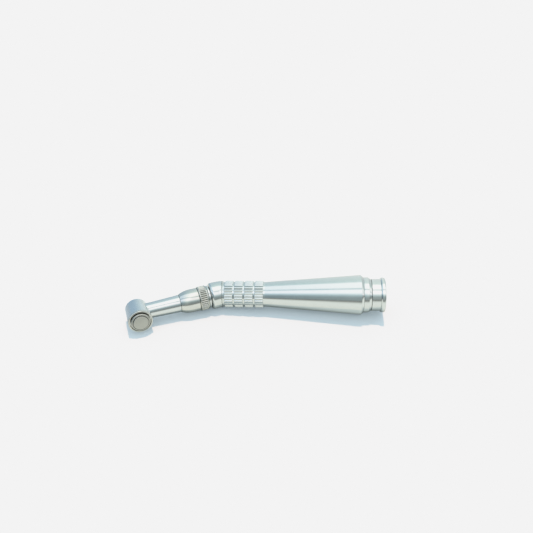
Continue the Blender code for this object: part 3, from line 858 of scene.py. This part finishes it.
def make_coupling():
    """The stepped tube that slides over the motor, with the parts in its socket."""
    turned(
        "coupling", HANDLE, coupling_corners(),
        "handle", "satin_steel", ("rear_coupling",), FINE_SIDES,
    )
    seal = circle(SEAL_THICKNESS, SEAL_PLACE, SEAL_SIDES)
    turned("socket_seal", HANDLE, seal, "handle", "rubber", ("coupling_o_ring",))
    make_latch_wire()
    turned("bearing_housing", HANDLE, [
        (4.24, 32.6), (5.4, 32.6, 0.2), (5.4, 43.4, 0.25), (4.24, 43.4, 0.25),
    ], "handle", "satin_steel", ("shaft_housing",))
    turned("retainer_nut", HANDLE, [
        (2.72, 38.2, 0.1), (4.18, 38.2, 0.1), (4.18, 39.8, 0.2), (2.72, 39.8, 0.2),
    ], "handle", "dark_steel", ("housing_retainer",))
    make_motor_dog()


# ---------------------------------------------------------------- the neck
KNURLS = 36
KNURL_SIDES = 12            # points across one tooth
KNURL_ROWS = 36
KNURL_DEPTH = 0.36
KNURL_START = 6.08
KNURL_END = 8.86
KNURL_RUN_OUT = 0.3         # length over which a groove grows to its full depth
LOCK_RADIUS = 4.9
THREAD_RADIUS = 4.07
SLEEVE_RADIUS = 4.7
SLEEVE_CURVE = 11.5         # where the sleeve starts to curve in
SLEEVE_TIP = 16.82
SLEEVE_ROWS = 15
SLEEVE_FALL = 0.0197        # how much it has curved in after one millimetre,
SLEEVE_POWER = 2.4          # and how fast that grows
NECK_END_RADIUS = 3.13
NECK_GAP = 0.01             # between the neck's end and the barrel
NECK_CUT_HEIGHTS = (-8, 8)  # along the head's axis, well past the neck on both sides


def knurl(angle):
    """Depth of the straight knurl, from 0 on a tooth to 1 in a groove."""
    across = (angle * KNURLS / math.tau) % 1.0
    return abs(2 * across - 1) ** 2.0


def make_lock_ring():
    """The knurled ring that clamps the neck to the handle."""
    sides = KNURLS * KNURL_SIDES
    length = KNURL_END - KNURL_START
    outline = rounded([
        (THREAD_RADIUS, 5.66),
        (LOCK_RADIUS - 0.24, 5.66, 0.03),
        (LOCK_RADIUS, 5.85, 0.08),
        (LOCK_RADIUS, KNURL_START),
        (LOCK_RADIUS, KNURL_END),
        (LOCK_RADIUS, 9.02, 0.08),
        (4.68, 9.22, 0.04),
        (3.72, 9.22),
        (3.72, 8.98),
        (THREAD_RADIUS, 8.98),
    ])
    rows = []
    for radius, height in outline:
        rows.append(ring(radius, height, sides))
        if radius < LOCK_RADIUS - SAME_PLACE or abs(height - KNURL_START) > SAME_PLACE:
            continue
        for i in range(1, KNURL_ROWS):
            z = KNURL_START + length * i / KNURL_ROWS
            nearest_end = min(z - KNURL_START, KNURL_END - z)
            depth = KNURL_DEPTH * min(1.0, nearest_end / KNURL_RUN_OUT)
            rows.append(ring(LOCK_RADIUS, z, sides, knurl, depth))
    nickel = "warm_nickel"
    mesh_piece("knurled_ring", NECK, rows, "lock_ring", nickel, ("lock_ring",))


def sleeve_curve():
    """(radius, height) points of the sleeve's bullet shape."""
    points = []
    for i in range(SLEEVE_ROWS):
        along = (SLEEVE_TIP - SLEEVE_CURVE) * i / (SLEEVE_ROWS - 1)
        fall = SLEEVE_FALL * along ** SLEEVE_POWER
        points.append((SLEEVE_RADIUS - fall, SLEEVE_CURVE + along))
    return points


def make_neck():
    """The bright collar, the bullet-shaped sleeve and the slim tube that carries the head."""
    turned("bright_collar", NECK, [
        (3.3, 1.95), (4.32, 1.95), (4.32, 4.3), (3.75, 4.36), (3.75, 4.76), (4.5, 4.8, 0.03),
        (4.56, 4.86, 0.05), (4.56, 5.4, 0.12), (4.4, 5.58, 0.05), (4.0, 5.58), (4.0, 8.45, 0.1),
        (3.7, 8.45), (3.7, 5.8), (3.3, 5.8),
    ], "handle", "polished_steel", ("threaded_nose",), FINE_SIDES)
    turned("bullet_sleeve", NECK, [
        (2.86, 5.9), (3.6, 5.9, 0.05), (3.6, 6.35), (3.25, 6.35), (3.25, 6.85), (3.6, 6.85),
        (3.6, 8.52), (3.95, 8.52), (3.95, 8.9), (3.62, 8.9), (3.62, 9.33), (4.55, 9.33, 0.05),
        (SLEEVE_RADIUS, 9.5, 0.1), *sleeve_curve(), (3.45, 16.86, 0.03), (3.1, 16.86),
        (3.1, 11.0), (2.3, 11.0), (2.3, 8.9), (2.86, 8.9),
    ], "handle", "sleeve_steel", ("neck_sleeve",), FINE_SIDES)
    tube = turned("slim_neck", NECK, [
        (2.0, 11.1), (3.05, 11.1), (3.05, 16.94), (3.42, 16.94, 0.02), (3.49, 17.03, 0.04),
        (3.42, 19.5), (NECK_END_RADIUS, 28.0), (NECK_END_RADIUS, 32.0), (2.0, 32.0),
    ], "handle", "polished_steel", ("neck_tube",), FINE_SIDES)
    room = [ring(barrel_radius(z) + NECK_GAP, z, FINE_SIDES) for z in NECK_CUT_HEIGHTS]
    cut(tube, room, HEAD)


# ---------------------------------------------------------------- the head
HEAD_RADIUS = 4.69
HEAD_TOP = 5.5
HEAD_NOSE = -3.75           # where the barrel's round nose edge starts
HEAD_TAPER = 0.042          # how much narrower the barrel gets towards its nose, to the millimetre
NECK_HOLE_RADIUS = 2.01     # of the barrel's hole for the neck
NECK_HOLE_HEIGHTS = (26.0, 31.5)


def barrel_radius(height):
    """Radius of the slightly tapered head barrel."""
    return HEAD_RADIUS - HEAD_TAPER * (HEAD_TOP - height)


def make_barrel():
    """The tapered barrel, open towards the neck."""
    barrel = turned("head_barrel", HEAD, [
        (2.5, -5.1), (2.6, -5.1, 0.03), (2.8, -4.9, 0.08), (2.8, -4.15, 0.05), (2.95, -4.02, 0.08),
        (4.02, -4.02, 0.2), (barrel_radius(HEAD_NOSE), HEAD_NOSE, 0.3),
        (HEAD_RADIUS, HEAD_TOP, 0.06), (4.3, 5.55), (4.0, 5.58), (4.0, 3.06), (3.87, 3.06),
        (3.87, -2.7), (2.5, -2.7),
    ], "handle", "head_steel", ("head_housing",), FINE_SIDES)
    cut(barrel, [ring(NECK_HOLE_RADIUS, z, SMALL_SIDES) for z in NECK_HOLE_HEIGHTS], NECK)


def make_head():
    """The barrel with its cap ring, the push button and what shows in the nose."""
    make_barrel()
    turned("cap_ring", HEAD, [
        (3.76, 5.3), (3.95, 5.3), (3.95, 5.64), (4.3, 5.64), (HEAD_RADIUS, 5.7, 0.06),
        (HEAD_RADIUS, 6.3, 0.08), (4.6, 6.5, 0.06), (4.22, 6.57, 0.06), (4.12, 6.45, 0.05),
        (4.12, 5.5), (3.76, 5.5),
    ], "handle", "bezel_nickel", ("head_cap",), FINE_SIDES)
    turned("button", HEAD, [
        (0, 7.5), (0, 6.2), (3.15, 6.2), (3.15, 5.0), (3.92, 5.0), (3.92, 5.22), (3.68, 5.22),
        (3.7, 6.95, 0.1), (3.48, 7.2, 0.06), (3.12, 7.26, 0.05), (3.06, 6.9), (2.94, 6.9),
        (2.9, 7.42, 0.04), (2.78, 7.53, 0.05),
    ], "push_button", "matt_steel", ("push_button",), FINE_SIDES)
    turned("nose_nut", HEAD, [
        (1.72, -5.05, 0.06), (2.44, -5.05, 0.06), (2.44, -4.05), (1.72, -4.05),
    ], "handle", "dark_steel", ("nose_ring",))
    turned("chuck_spindle", HEAD, [
        (1.12, -4.95, 0.05), (1.4, -4.95, 0.1), (1.4, -2.7), (1.85, -2.7), (1.85, -2.4),
        (1.4, -2.4), (1.4, 4.5, 0.1), (1.12, 4.5),
    ], "spindle", "satin_steel", ("spindle",))


# ---------------------------------------------------------------- pieces inside
def paint_nodes():
    """Give every CAD node that stays visible the metal of its material slot."""
    slots = {entry["node"]: entry["material_slot"] for entry in frame["record"]["subparts"]}
    for name, obj in frame["nodes"].items():
        obj.data.materials.clear()
        obj.data.materials.append(METALS[slots[name]])


expose()
make_camera()
make_world()
make_sun()
make_floor()
paint_nodes()
make_sheath()
make_coupling()
make_lock_ring()
make_neck()
make_head()
